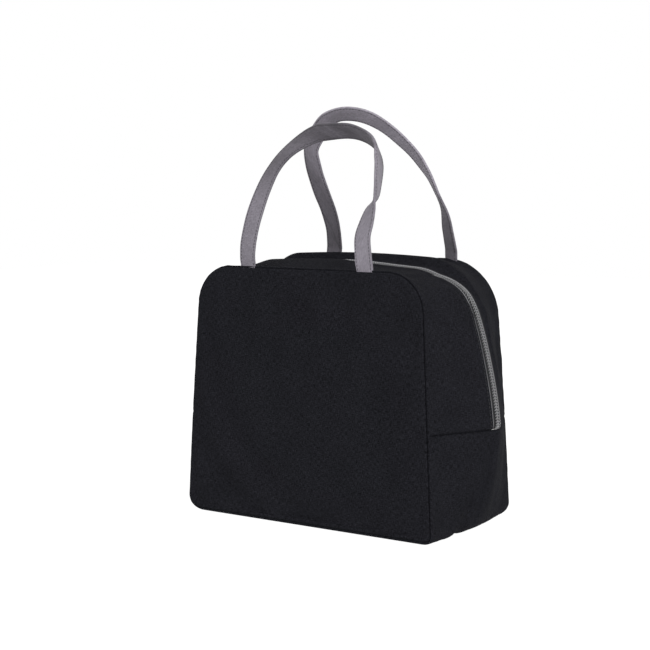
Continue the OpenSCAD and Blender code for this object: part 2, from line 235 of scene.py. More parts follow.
def ridge(side, x, y, z, upright):
    """How far the cloth beside the zip stands out, where upright is 1 on the top and 0 on the sides."""
    y = np.abs(y)
    top = smooth(upright * 1.3 - 0.3)
    step = smooth((y - RIDGE_START) / RIDGE_RISE) * (1 - smooth((y - RIDGE_CREST) / RIDGE_FALL[side]))
    change, slope = BACK_RIDGE_TOP, VALLEY_SLOPE
    if side == FRONT:
        change = FRONT_RIDGE_LEFT - FRONT_RIDGE_DROP * smooth((x - 10) / 40)
        slope = VALLEY_SLOPE + FRONT_SLOPE * top * smooth(x / 40)
    low = ZIP_LOW * smooth((upright - 0.72) / 0.28)
    full = ZIP_FULL * np.exp(-((upright - 0.56) / 0.26) ** 2)
    valley = (VALLEY + smooth(x / 60) * (low - full)) * (1 - smooth((y - VALLEY_FLOOR) / slope))
    out = RIDGE_H * step * (1 - slack(x, z)) * (1 + change * top) - valley
    return smooth((z - SEAM_Z) / 60) * out


def swell_across(share):
    return ((share ** 2 + SWELL_SOFT) / (1 + SWELL_SOFT)) ** (SWELL_POWER / 2)


def bulge(share):
    """Swell across the gusset: 1 in the middle, 0 at the panels, a soft ridge between."""
    return (1 - swell_across(share)) / (1 - swell_across(0))


def right_corner(share):
    """The bag leans on its front right corner, which is sharper than the others."""
    return SQUASHED_R + (BOTTOM_R - SQUASHED_R) * float(smooth((share + 1) / 0.9))


def gusset_loop(side, a, b, inset=0.0):
    share = side * (a * half_depth(FRONT_H) + b) / half_depth(FRONT_H)
    h = FRONT_H + (BACK_H - FRONT_H) * (share + 1) / 2
    return outline(h, inset, right_corner(share)), h


def gusset_surface(columns, inset=0.0, lifts=None):
    """Points [column, row, xyz] of the swollen gusset. columns holds (side, a, b)."""
    points = []
    for k, (side, a, b) in enumerate(columns):
        loop, h = gusset_loop(side, a, b, inset)
        x, z = loop[:, 0], loop[:, 1]
        y = side * (a * half_depth(z) + b)
        w = bulge(np.clip(np.abs(y) / half_depth(z), 0, 1))
        rise = np.clip((z - h + corner_at(h)) / (corner_at(h) - inset), 0, None)
        crown = CROWN * w * rise ** 2 * (1 - (x / CROWN_HALF) ** 2)
        normal = outward(loop)
        out = normal * (ridge(side, x, y, z, normal[:, 1]) + (lifts[k] if lifts else 0))[:, None]
        points.append(np.stack([x * (1 + SIDE_SWELL * swell_at(z) * w) + out[:, 0],
                                y, z + crown + out[:, 1]], 1))
    return np.array(points)


def ring_sides(ring):
    """Low, right, top and left side of a closed loop, each from its left or low end."""
    low = ring[:EDGE + 1]
    right = ring[EDGE:EDGE + SIDE + 1]
    top = ring[EDGE + SIDE:2 * EDGE + SIDE + 1][::-1]
    left = np.concatenate([ring[2 * EDGE + SIDE:], ring[:1]])[::-1]
    return low, right, top, left


def coons(ring):
    """Grid [row, column] of [x, z] that fills a closed loop of LOOP points."""
    low, right, top, left = ring_sides(ring)
    s = np.linspace(0, 1, EDGE + 1)[None, :, None]
    t = np.linspace(0, 1, SIDE + 1)[:, None, None]
    corners = ((1 - s) * (1 - t) * low[0] + s * (1 - t) * low[-1]
               + (1 - s) * t * top[0] + s * t * top[-1])
    return (1 - t) * low + t * top + (1 - s) * left[:, None] + s * right[:, None] - corners


def panel_rings(side, inset=0.0):
    return [outline(PANEL_H[side], inset + e, right_corner(side)) for e in NEAR_SEAM]


def panel_middle(ring):
    """Points [x, z] that fill a panel inside its last ring."""
    return coons(ring)[1:-1, 1:-1].reshape(-1, 2)


def panel_surface(side, inset=0.0, depth=0.0):
    """Points of a panel: rings in from the seam, then a filled middle. depth is in from its outside."""
    rings = panel_rings(side, inset)
    flat = np.concatenate([*rings, panel_middle(rings[-1])])
    return np.stack([flat[:, 0], side * (half_depth(flat[:, 1]) - depth), flat[:, 1]], 1)


def grid_quads(index):
    return np.stack([index[:-1, :-1], index[:-1, 1:], index[1:, 1:], index[1:, :-1]],
                    2).reshape(-1, 4)


def round_quads(index):
    """Faces between closed loops, given as the rows of index."""
    return grid_quads(np.concatenate([index, index[:, :1]], 1))


def loops_index(count):
    return np.arange(count * LOOP).reshape(count, LOOP)


def facing(quads, side):
    """Faces that look forwards on the front side and backwards on the back one."""
    return quads if side == FRONT else quads[:, ::-1]


def panel_quads(side):
    rings = len(NEAR_SEAM)
    loop = (rings - 1) * LOOP + np.arange(LOOP)
    grid = np.zeros((SIDE + 1, EDGE + 1), int)
    grid[1:-1, 1:-1] = rings * LOOP + np.arange((SIDE - 1) * (EDGE - 1)).reshape(SIDE - 1, EDGE - 1)
    grid[0], grid[:, -1], grid[-1], grid[:, 0] = ring_sides(loop)
    return facing(np.concatenate([round_quads(loops_index(rings)), grid_quads(grid)]), side)


# ---- cloth simulation of the outer shell
gusset_rest = gusset_surface(COLUMNS)
panel_rest = {side: panel_surface(side) for side in SIDES}


def shell_mesh():
    """One closed mesh of gusset and panels, and where each part's points are in it."""
    gusset_index = loops_index(len(COLUMNS))
    points = [gusset_rest.reshape(-1, 3)]
    quads = [round_quads(gusset_index)[:, ::-1]]
    offset = gusset_index.size
    maps = {}
    for side, edge in ((FRONT, gusset_index[0]), (BACK, gusset_index[-1])):
        inner = panel_rest[side][LOOP:]
        maps[side] = np.concatenate([edge, offset + np.arange(len(inner))])
        points.append(inner)
        quads.append(maps[side][panel_quads(side)])
        offset += len(inner)
    return np.concatenate(points), np.concatenate(quads), gusset_index, maps


def new_object(name, data):
    obj = bpy.data.objects.new(name, data)
    bpy.context.scene.collection.objects.link(obj)
    return obj


def new_mesh(name, points, faces):
    mesh = bpy.data.meshes.new(name)
    mesh.from_pydata((np.asarray(points) * MM).tolist(), [], [list(map(int, f)) for f in faces])
    mesh.update()
    return new_object(name, mesh)


def read_points(mesh):
    co = np.zeros(len(mesh.vertices) * 3)
    mesh.vertices.foreach_get("co", co)
    return co.reshape(-1, 3) / MM


def configure(target, **settings):
    for key, value in settings.items():
        setattr(target, key, value)
    return target


def modify(obj, kind, **settings):
    return configure(obj.modifiers.new(kind.lower(), kind), **settings)


PUFF_LIMIT = 3.5  # the cloth never moves further than this
SETTLE_FRAMES = 24


def settle(points, quads, held):
    """Lets the sewn shell fill out as cloth. Returns how far each point moved."""
    obj = new_mesh("shell_cloth", points, quads)
    group = obj.vertex_groups.new(name="held")
    for weight in np.unique(held):
        group.add(np.nonzero(held == weight)[0].tolist(), float(weight), "REPLACE")
    cloth = modify(obj, "CLOTH")
    configure(cloth.settings, vertex_group_mass="held", quality=6, mass=0.3, tension_stiffness=15,
              compression_stiffness=15, shear_stiffness=6, bending_stiffness=3, shrink_min=-0.01,
              use_pressure=True, uniform_pressure_force=1.4)
    cloth.settings.effector_weights.gravity = 0.4
    cloth.collision_settings.use_collision = False
    scene = bpy.context.scene
    for number in range(1, SETTLE_FRAMES + 1):
        scene.frame_set(number)
    settled = obj.evaluated_get(bpy.context.evaluated_depsgraph_get())
    moved = read_points(settled.data) - points
    bpy.data.objects.remove(obj)
    scene.frame_set(1)
    length = np.linalg.norm(moved, axis=1, keepdims=True)
    return moved / np.maximum(length, 1e-6) * np.tanh(length / PUFF_LIMIT) * PUFF_LIMIT


shell_points, shell_quads, gusset_map, panel_map = shell_mesh()

# How far the hold of each seam, the zip and the floor reaches into the cloth
SEAM_HOLD, LEVEL_HOLD, ZIP_HOLD, FLOOR_HOLD = 5, 4, 9, 1.5


def held_weights():
    """How firmly each point is held while the shell fills out: seams and zip are, middles aren't."""
    held = np.zeros(len(shell_points))
    depth = np.abs(gusset_rest[:, :, 1])
    height = gusset_rest[:, :, 2]
    seam = np.exp(-(half_depth(height) - depth) / SEAM_HOLD)
    level = np.exp(-np.abs(height - SEAM_Z) / LEVEL_HOLD)
    zip_line = (1 - smooth((depth - ZIP_GAP) / ZIP_HOLD)) * (height > SEAM_Z)
    floor = (height < FLOOR_HOLD) * 1.0
    held[gusset_map] = np.clip(np.maximum.reduce([seam, level, zip_line, floor]), 0, 1)
    near = np.repeat(np.exp(-np.array(NEAR_SEAM) / SEAM_HOLD), LOOP)
    for side in SIDES:
        rows = panel_map[side][:len(near)]
        held[rows] = np.maximum(held[rows], near)
    return np.round(held, 1)


held = held_weights()
moved = settle(shell_points, shell_quads, held)


# ---- seams and folds
# At a panel seam both cloths roll in together; the roll itself stands a little proud
SEAM_DIVE, SEAM_SPREAD = 2.2, 0.95
ROLL_OUT, ROLL_SPREAD = 1.3, 8.0
# Under the bag the seam is lifted off the floor, gently on the panel and sharply on the gusset
FOOT_DIVE, FOOT_LIFT = 2.2, 3.4
FOOT_SPREAD = {"panel": 4.0, "gusset": 1.5}
LEVEL_DIVE, LEVEL_SPREAD, LEVEL_FADE = 2.8, 1.2, 7.0

# The fold on the right side of the lower gusset, from its top down to the floor, as (y, z)
FOLD_LINE = ((-8, 60), (-22, 18), (-27, 0))
FOLD_DIVE, FOLD_SPREAD = 3.0, 4.0


def dive_vectors(side, normal, distance, cloth):
    """How the cloth of a panel or the gusset is drawn in beside their seam, as [row, xyz]."""
    foot = smooth(-normal[:, 1] * 1.6 - 0.6)
    roll = np.exp(-distance / SEAM_SPREAD)
    out = (ROLL_OUT * np.exp(-distance / ROLL_SPREAD) - SEAM_DIVE * roll) * (1 - foot)
    along_y = (SEAM_DIVE + (FOOT_DIVE - SEAM_DIVE) * foot) * roll
    lift = FOOT_LIFT * foot * np.exp(-distance / FOOT_SPREAD[cloth])
    return np.stack([normal[:, 0] * out, -side * along_y, normal[:, 1] * out + lift], 1)


def line_distance(y, z, line):
    """Distance from points to a broken line, and how far down it the nearest place is, 0 to 1."""
    best = np.full(np.shape(y), 1e9)
    place = np.zeros(np.shape(y))
    for k, ((y0, z0), (y1, z1)) in enumerate(zip(line, line[1:])):
        dy, dz = y1 - y0, z1 - z0
        t = np.clip(((y - y0) * dy + (z - z0) * dz) / (dy ** 2 + dz ** 2), 0, 1)
        d = np.hypot(y - y0 - t * dy, z - z0 - t * dz)
        place = np.where(d < best, (k + t) / (len(line) - 1), place)
        best = np.minimum(best, d)
    return best, place


def side_fold(points):
    """Depth of the soft fold where the lower gusset is pushed in on the right."""
    d, place = line_distance(points[:, 1], points[:, 2], FOLD_LINE)
    depth = FOLD_DIVE * np.exp(-(d / FOLD_SPREAD) ** 2) * smooth(place * 2.5)
    return depth * (points[:, 0] > BOTTOM_R)


def gusset_seams():
    """How the gusset is pressed in at the level seam and the fold, and rolls into the panel seams."""
    creases, rolls = np.zeros_like(gusset_rest), np.zeros_like(gusset_rest)
    for j, (side, a, b) in enumerate(COLUMNS):
        loop, _ = gusset_loop(side, a, b)
        normal = outward(loop)
        distance = half_depth(loop[:, 1]) - np.abs(gusset_rest[j, :, 1])
        level = LEVEL_DIVE * np.exp(-np.abs(loop[:, 1] - SEAM_Z) / LEVEL_SPREAD)
        level = level * smooth(distance / LEVEL_FADE)
        fold = side_fold(gusset_rest[j])
        creases[j, :, 0] = -normal[:, 0] * (level + fold)
        creases[j, :, 2] = -normal[:, 1] * fold
        rolls[j] = dive_vectors(side, normal, distance, "gusset")
    return creases, rolls


def panel_rolls(side):
    """The outer cloth of a panel rolls into its seam."""
    rings = panel_rings(side)
    rolls = [dive_vectors(side, outward(loop), np.full(LOOP, distance), "panel")
             for loop, distance in zip(rings, NEAR_SEAM)]
    away = rings[0] - panel_middle(rings[-1])[:, None]
    gap = np.hypot(away[:, :, 0], away[:, :, 1])
    distance = gap.min(1)
    inner = dive_vectors(side, outward(rings[0])[gap.argmin(1)], distance, "panel")
    return np.concatenate([*rolls, inner * (distance < 4 * ROLL_SPREAD)[:, None]])


gusset_creases, gusset_rolls = gusset_seams()
inner_shift = moved[gusset_map] + gusset_creases
outer_shift = inner_shift + gusset_rolls
panel_shift = {side: moved[panel_map[side]] + panel_rolls(side) for side in SIDES}

# How many shell points carry a point inside the shell, and how soft their shares are
CARRY_POINTS, CARRY_SOFT = 8, 4


def carried(side, points):
    """How far the settled panel moved above each point of a layer that lies inside it."""
    rest, shift = panel_rest[side][:, [0, 2]], moved[panel_map[side]]
    result = np.zeros_like(points)
    for n, place in enumerate(points[:, [0, 2]]):
        gap = ((rest - place) ** 2).sum(1)
        near = np.argpartition(gap, CARRY_POINTS)[:CARRY_POINTS]
        share = 1 / (gap[near] + CARRY_SOFT)
        result[n] = share @ shift[near] / share.sum()
    return result


# ---- making pieces
def face_normals(points, quads):
    """A normal of each face, twice as long as the face's area."""
    a, b, c, d = (points[quads[:, k]] for k in range(4))
    return np.cross(c - a, d - b)


def point_normals(points, quads):
    face = face_normals(points, quads)
    normals = np.zeros_like(points)
    for k in range(4):
        np.add.at(normals, quads[:, k], face)
    return unit(normals)


def border(quads):
    """Directed edges that belong to one face only."""
    edges = np.concatenate([quads[:, [k, (k + 1) % 4]] for k in range(4)])
    seen = set(map(tuple, edges.tolist()))
    return np.array(sorted((a, b) for a, b in seen if (b, a) not in seen))


def set_smooth(obj):
    obj.data.polygons.foreach_set("use_smooth", np.ones(len(obj.data.polygons), bool))


def dress(obj, uv, material, sharp=60):
    """Gives a mesh its cut coordinates, smooth shading and material."""
    layer = obj.data.uv_layers.new(name="cut")
    loops = np.zeros(len(obj.data.loops), int)
    obj.data.loops.foreach_get("vertex_index", loops)
    layer.data.foreach_set("uv", (uv[loops] * MM).ravel())
    set_smooth(obj)
    obj.data.set_sharp_from_angle(angle=math.radians(sharp))
    obj.data.materials.append(material)


def apply_modifiers(obj):
    made = bpy.data.meshes.new_from_object(obj.evaluated_get(bpy.context.evaluated_depsgraph_get()))
    obj.modifiers.clear()
    obj.data = made
    set_smooth(obj)


def sharp_corners(points, edge):
    """Points of a sheet's outline at which it turns sharply."""
    ahead = dict(edge.tolist())
    steps = {a: unit(points[b] - points[a]) for a, b in ahead.items()}
    return [b for a, b in ahead.items() if steps[a] @ steps[b] < 0.7]


def keep_edges(obj, points, edge):
    """Holds a sheet's cut edges in place when it is made finer, so that sewn pieces still meet."""
    count = len(points)
    kept = {tuple(sorted(pair)) for pair in np.concatenate([edge, edge + count]).tolist()}
    kept |= {(corner, corner + count) for corner in sharp_corners(points, edge)}
    crease = obj.data.attributes.new("crease_edge", "FLOAT", "EDGE")
    ends = np.zeros(2 * len(obj.data.edges), int)
    obj.data.edges.foreach_get("vertices", ends)
    values = [float(tuple(sorted(pair)) in kept) for pair in ends.reshape(-1, 2).tolist()]
    crease.data.foreach_set("value", values)


def sewn(name, points, quads, thick, uv, material, fine=0):
    """Closed solid of a sheet: its outside, its inside thick further in, and the rim between."""
    inner = points - point_normals(points, quads) * thick
    n = len(points)
    edge = border(quads)
    rim = np.stack([edge[:, 1], edge[:, 0], edge[:, 0] + n, edge[:, 1] + n], 1)
    faces = np.concatenate([quads, quads[:, ::-1] + n, rim])
    obj = new_mesh(name, np.concatenate([points, inner]), faces)
    dress(obj, np.concatenate([uv, uv]), material)
    if fine:
        keep_edges(obj, points, edge)
        modify(obj, "SUBSURF", levels=fine, render_levels=fine, uv_smooth="PRESERVE_BOUNDARIES")
        apply_modifiers(obj)
    return obj


def uv_pairs(u, v):
    return np.stack([u.ravel(), v.ravel()], 1)


def arc_lengths(points, axis):
    step = np.linalg.norm(np.diff(points, axis=axis), axis=-1)
    start = np.zeros_like(np.take(step, [0], axis=axis))
    return np.concatenate([start, np.cumsum(step, axis=axis)], axis=axis)


def finish_piece(obj, slot, *nodes):
    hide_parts(*nodes)


def bend(obj):
    """Bakes the piece's place into its points."""
    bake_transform(obj)


def layer_columns(side, edge, mid):
    """The gusset's columns between the panel seam and mid from the zip, with exact ends."""
    ys = [y for y in COLUMN_Y if mid < y < MID_DEPTH - edge]
    lines = [(side, 0, mid)] + [(side, *column(y)) for y in ys] + [(side, 1, -edge)]
    return lines[::-1] if side == FRONT else lines


def span_columns(edge):
    """The gusset's columns from one panel to the other, edge in from each."""
    inner = [(s, a, b) for s, a, b in COLUMNS if a * MID_DEPTH + b < MID_DEPTH - edge]
    return [(FRONT, 1, -edge), *inner, (BACK, 1, -edge)]


def shifts_for(columns, shift):
    """The shell's shift at each of a layer's columns, from the nearest column of the shell."""
    places, wanted = (np.array([s * (a * MID_DEPTH + b) for s, a, b in some])
                      for some in (COLUMNS, columns))
    return shift[np.abs(wanted[:, None] - places).argmin(1)]


# ---- materials
def node(tree, kind, **settings):
    """New shader node. A setting is a link or a value for an input, or a property of the node."""
    made = tree.nodes.new("ShaderNode" + kind)
    for key, value in settings.items():
        if isinstance(value, bpy.types.NodeSocket):
            tree.links.new(value, made.inputs[key])
        elif key in made.inputs:
            made.inputs[key].default_value = value
        else:
            setattr(made, key, value)
    return made


def new_material(name, **looks):
    """A material, its tree and its shader. looks holds the shader's inputs, with _ for a space."""
    material = bpy.data.materials.new(name)
    material.use_nodes = True
    shader = material.node_tree.nodes["Principled BSDF"]
    for key, value in looks.items():
        shader.inputs[key.replace("_", " ")].default_value = value
    return material, material.node_tree, shader


def cut_coordinates(tree, across=1.0, along=1.0):
    """The cloth's own coordinates in millimetres, times a factor each way."""
    uv = node(tree, "UVMap", uv_map="cut").outputs["UV"]
    return node(tree, "Mapping", Vector=uv, Scale=(across / MM, along / MM, 1 / MM)).outputs["Vector"]


def threads(tree, vector, direction):
    """Bands one unit apart, for the threads that run one way."""
    return node(tree, "TexWave", wave_type="BANDS", bands_direction=direction, Scale=math.pi / 10,
                Vector=vector).outputs["Fac"]


def noise(tree, vector, scale, detail=2.0, rough=0.5):
    made = node(tree, "TexNoise", Vector=vector, Scale=scale, Detail=detail, Roughness=rough)
    return made.outputs["Fac"]


def ramp(tree, factor, stops):
    made = node(tree, "ValToRGB", Fac=factor)
    while len(made.color_ramp.elements) < len(stops):
        made.color_ramp.elements.new(0.5)
    for element, (place, colour) in zip(made.color_ramp.elements, stops):
        element.position = place
        element.color = (*colour, 1)
    return made.outputs["Color"]


def maths(tree, operation, a, b):
    made = node(tree, "Math", operation=operation)
    for socket, value in zip(made.inputs, (a, b)):
        if isinstance(value, (int, float)):
            socket.default_value = value
        else:
            tree.links.new(value, socket)
    return made.outputs["Value"]


def blend_colours(tree, factor, a, b, kind="MIX"):
    made = node(tree, "Mix", data_type="RGBA", blend_type=kind)
    for name, value in (("Factor", factor), ("A", a), ("B", b)):
        socket = next(s for s in made.inputs if s.name == name and s.enabled)
        if isinstance(value, (int, float)):
            socket.default_value = value
        elif isinstance(value, tuple):
            socket.default_value = (*value, 1)
        else:
            tree.links.new(value, socket)
    return next(s for s in made.outputs if s.enabled)


def bump(tree, shader, height, strength, distance):
    made = node(tree, "Bump", Height=height, Strength=strength, Distance=distance * MM)
    tree.links.new(made.outputs["Normal"], shader.inputs["Normal"])


def shade(colour, factor):
    return tuple(min(1, c * factor) for c in colour)


def paint(tree, shader, colour):
    tree.links.new(colour, shader.inputs["Base Color"])


def repaint(material):
    """The tree, the shader, the colour it has now, and the cloth's coordinates one by one."""
    tree = material.node_tree
    shader = tree.nodes["Principled BSDF"]
    parts = node(tree, "SeparateXYZ", Vector=cut_coordinates(tree))
    return tree, shader, shader.inputs["Base Color"].links[0].from_socket, parts.outputs


def halfway(tree, a, b):
    return maths(tree, "MULTIPLY", maths(tree, "ADD", a, b), 0.5)


def woven(name, colour, contrast=0.5, pitch=0.6, sheen=0.1, shine=0.2, fleck=0.05):
    """Plain weave of melange yarn: warp and weft, each yarn with its own run of shades."""
    looks = {"Specular_IOR_Level": shine, "Sheen_Weight": sheen, "Sheen_Roughness": 0.5}
    material, tree, shader = new_material(name, Roughness=0.9, **looks)
    dark, light = shade(colour, 1 - contrast), shade(colour, 1 + contrast)
    fine = cut_coordinates(tree, 1 / pitch, 1 / pitch)
    weave = halfway(tree, threads(tree, fine, "X"), threads(tree, fine, "Y"))
    warp = noise(tree, cut_coordinates(tree, 1.2 / pitch, 0.16 / pitch), 1.0, 2.0, 0.7)
    weft = noise(tree, cut_coordinates(tree, 0.16 / pitch, 1.2 / pitch), 1.0, 2.0, 0.7)
    yarn = halfway(tree, warp, weft)
    tone = ramp(tree, yarn, [(0.34, dark), (0.5, colour), (0.66, light)])
    tone = blend_colours(tree, maths(tree, "MULTIPLY", weave, 0.3), tone, dark)
    for scale, spread in ((0.03, 0.1), (0.85, fleck)):
        cloud = noise(tree, cut_coordinates(tree), scale, 3.0, 0.5)
        ends = [(0.3, (1 - spread,) * 3), (0.7, (1 + spread,) * 3)]
        tone = blend_colours(tree, 1.0, tone, ramp(tree, cloud, ends), "MULTIPLY")
    paint(tree, shader, tone)
    bump(tree, shader, maths(tree, "ADD", weave, yarn), 0.4, 0.3)
    return material


# The straps get painted light and shade along their length; WANDER makes its steps uneven
WANDER = 15.0  # how far a strap's shading strays from its places


def paint_light_and_shade_along(material, stops):
    """Paints light and shade along a strap's length, darker where a run turns from the light or lies in
    shadow: stops holds (distance from its start, factor).
    """
    tree, shader, plain, place = repaint(material)
    total = stops[-1][0]
    stray = maths(tree, "MULTIPLY", noise(tree, cut_coordinates(tree), 0.12), 2 * WANDER)
    at = maths(tree, "ADD", place["Y"], maths(tree, "SUBTRACT", stray, WANDER))
    tone = ramp(tree, maths(tree, "DIVIDE", at, total), [(s / total, (f,) * 3) for s, f in stops])
    paint(tree, shader, blend_colours(tree, 1.0, plain, tone, "MULTIPLY"))


def stripe(material, colour, start, stop):
    """Weaves a stripe of another colour along a tape, between two distances from its edge."""
    tree, shader, plain, place = repaint(material)
    inside = maths(tree, "MULTIPLY", maths(tree, "GREATER_THAN", place["Y"], start),
                   maths(tree, "LESS_THAN", place["Y"], stop))
    paint(tree, shader, blend_colours(tree, inside, plain, colour))


def film(name, colour):
    """Wipe-clean coated lining: a faint crinkle and a soft shine."""
    material, tree, shader = new_material(name, Roughness=0.42, Metallic=0.35)
    crinkle = noise(tree, cut_coordinates(tree), 0.12, 4.0, 0.6)
    pebble = noise(tree, cut_coordinates(tree), 1.4)
    paint(tree, shader, ramp(tree, crinkle, [(0.3, shade(colour, 0.88)), (0.7, colour)]))
    bump(tree, shader, maths(tree, "ADD", crinkle, maths(tree, "MULTIPLY", pebble, 0.15)), 0.5, 1.0)
    return material


def closed_foam(name, colour):
    """Closed-cell foam, with the cells as small pits, and painted shade darkening the colour in each pit.
    """
    material, tree, shader = new_material(name, Roughness=0.8)
    cells = node(tree, "TexVoronoi", Vector=cut_coordinates(tree), Scale=1.2).outputs["Distance"]
    # painted shade: the colour darkens towards the middle of each pit
    paint(tree, shader, ramp(tree, cells, [(0.0, shade(colour, 0.75)), (0.8, colour)]))
    bump(tree, shader, cells, 0.4, 0.3)
    return material


def painted(name, colour):
    """Painted casting: a slight orange peel, brighter where handling has worn the edges."""
    material, tree, shader = new_material(name, Roughness=0.38, Metallic=0.7)
    peel = noise(tree, node(tree, "TexCoord").outputs["Object"], 1800.0)
    wear = node(tree, "NewGeometry").outputs["Pointiness"]
    paint(tree, shader, ramp(tree, wear, [(0.52, colour), (0.6, shade(colour, 2.6))]))
    bump(tree, shader, peel, 0.15, 0.1)
    return material


def filament(name, colour, rough=0.45):
    """Nylon of the coil and the sewing threads, a little darker in places."""
    material, tree, shader = new_material(name, Roughness=rough)
    tone = noise(tree, node(tree, "TexCoord").outputs["Object"], 900.0)
    paint(tree, shader, ramp(tree, tone, [(0.3, shade(colour, 0.75)), (0.7, colour)]))
    bump(tree, shader, tone, 0.1, 0.1)
    return material


CLOTH = woven("outer_cloth", (0.0103, 0.0104, 0.013), contrast=0.95, sheen=0.0, shine=0.03, fleck=0.28)
STRAPS_CLOTH = {side: woven(f"{NAMES[side]}_strap", (0.243, 0.224, 0.259), contrast=0.35, pitch=0.8,
                            fleck=0.2) for side in SIDES}
# Painted light and shade: each strap is darker where it turns from the light or lies in shadow and lighter
# on its lit arc
paint_light_and_shade_along(STRAPS_CLOTH[FRONT], [
    (0, 0.6), (70, 0.6), (92, 0.42), (106, 0.34), (120, 0.42), (138, 0.32), (152, 0.26),
    (165, 0.4), (180, 0.27), (195, 0.4), (207, 0.3), (225, 0.55), (245, 0.72), (380, 0.65)])
paint_light_and_shade_along(STRAPS_CLOTH[BACK], [
    (0, 0.5), (60, 0.5), (75, 0.9), (160, 1.0), (235, 0.9), (262, 0.55),
    (318, 0.45), (322, 0.34), (327, 0.5), (400, 0.5)])
TAPE = woven("zip_tape", (0.02, 0.02, 0.022), contrast=0.3, pitch=0.45)
stripe(TAPE, (0.26, 0.26, 0.27), 5.8, 8.3)
BINDING = woven("binding", (0.022, 0.022, 0.024), pitch=0.7)
LINING = film("lining", (0.55, 0.57, 0.59))
FOAM = closed_foam("foam", (0.8, 0.8, 0.77))
COIL = filament("zip_coil", (0.24, 0.24, 0.247))
METAL = painted("zip_metal", (0.1, 0.1, 0.105))
THREAD = filament("thread", (0.01, 0.01, 0.011), 0.7)
STRAP_THREAD = filament("strap_thread", (0.016, 0.015, 0.018), 0.8)


# ---- body of the bag
# Each layer by its slot: thickness, depth inside the outer face, material, times it is made finer
LAYERS = {"outer_cloth": (OUTER_T, 0, CLOTH, 1), "foam": (FOAM_T, FOAM_IN, FOAM, 0),
          "lining": (LINING_T, LINING_IN, LINING, 0), "zip_tape": (TAPE_T, FOAM_IN, TAPE, 0)}


def layer(name, slot, nodes, points, quads, uv, cut, pad, side):
    """One layer of the walls, made into a closed solid from its points."""
    thick, _, material, fine = LAYERS[slot]
    obj = sewn(name, points, quads, thick, uv, material, fine)
    if side is None:
        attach(obj, "root")
    else:
        bend(obj)
    finish_piece(obj, slot, *nodes)


def gusset_layer(name, slot, nodes, columns, rows, pad, side=None, lifts=None):
    inset = LAYERS[slot][1]
    shift = inner_shift if inset else outer_shift
    points = (gusset_surface(columns, inset, lifts) + shifts_for(columns, shift))[:, rows]
    u = arc_lengths(points, 1)
    u = (u - u[:, -1:] / 2).mean(0)[None, :] * np.ones(len(columns))[:, None]
    v = arc_lengths(points, 0)
    quads = grid_quads(np.arange(u.size).reshape(u.shape))[:, ::-1]
    cut = v.max(), np.ptp(u)
    layer(name, slot, nodes, points.reshape(-1, 3), quads, uv_pairs(u, v), cut, pad, side)


def panel_layer(name, slot, nodes, side, inset, pad):
    depth = LAYERS[slot][1]
    points = panel_surface(side, inset, depth)
    points = points + (carried(side, points) if depth else panel_shift[side])
    uv = points[:, [0, 2]]
    layer(name, slot, nodes, points, panel_quads(side), uv, np.ptp(uv, axis=0), pad, side)


def panels(side):
    """Outer cloth, foam and lining of a panel."""
    name = NAMES[side]
    for slot, piece, word, inset in (("outer_cloth", "panel", "panel", 0),
                                     ("foam", "panel_foam", "foam", FOAM_EDGE),
                                     ("lining", "panel_lining", "lining", LINING_IN)):
        nodes = [f"{name}_{word}_{part}" for part in ("lower", "upper")]
        panel_layer(f"{name}_{piece}", slot, nodes, side, inset, f"{name}_panel_foam")


def strips(side):
    """Outer cloth, foam and lining between a panel and the zip."""
    name = NAMES[side]
    for slot, piece, words, edge, mid in (
            ("outer_cloth", "strip_cloth", ("strip", "strip_ends"), 0, STRIP_EDGE[side]),
            ("foam", "strip_pad", ("strip_foam",), LINING_IN, TAPE_W + 1),
            ("lining", "strip_facing", ("strip_lining",), INSIDE_IN, ZIP_GAP)):
        gusset_layer(f"{name}_{piece}", slot, [f"{name}_{word}" for word in words],
                     layer_columns(side, edge, mid), UPPER_ROWS, f"{name}_strip_pad", side)


def base():
    """Outer cloth, foam and lining of the lower gusset."""
    for slot, piece, word, columns in (
            ("outer_cloth", "base_cloth", "base_gusset", COLUMNS),
            ("foam", "base_foam", "gusset_foam", span_columns(LINING_IN)),
            ("lining", "base_lining", "gusset_lining", span_columns(INSIDE_IN))):
        gusset_layer(piece, slot, [word], columns, LOWER_ROWS, "base_foam")


# Distances of the binding's edge rows from the panel's outline, and how far it stands off the lining
BINDING_ROWS = ((0.3, 0.2), (0, 0.7), (0.4, 1.1), (2.5, 1.0), (5.0, 0.9), (7.6, 1.0), (8.0, 0.6),
                (7.7, 0.2))


def binding(side):
    """Tape sewn over the raw edges of the inner seam, a flat border with rolled edges."""
    rings = []
    for across, stand in BINDING_ROWS:
        loop = outline(PANEL_H[side], INSIDE_IN + across, right_corner(side))
        y = side * (half_depth(loop[:, 1]) - INSIDE_IN - stand)
        rings.append(np.stack([loop[:, 0], y, loop[:, 1]], 1))
    points = np.array(rings)
    points = points + carried(side, points.reshape(-1, 3)).reshape(points.shape)
    index = loops_index(len(BINDING_ROWS))
    quads = facing(round_quads(np.concatenate([index, index[:1]])), -side)
    along = arc_lengths(points, 1)
    across = np.array([row[0] for row in BINDING_ROWS])[:, None] * np.ones(LOOP)
    name = NAMES[side]
    obj = new_mesh(f"{name}_binding", points.reshape(-1, 3), quads)
    dress(obj, uv_pairs(along, across), BINDING)
    bend(obj)
    finish_piece(obj, "binding", f"{name}_binding_lower", f"{name}_binding_upper")


# ---- threads, tubes and rows of stitches
def resample(values, line, places):
    """Values along a line, such as its points or normals, at places along its length."""
    s = arc_lengths(line, 0)
    return np.stack([np.interp(places, s, values[:, k]) for k in range(3)], 1)


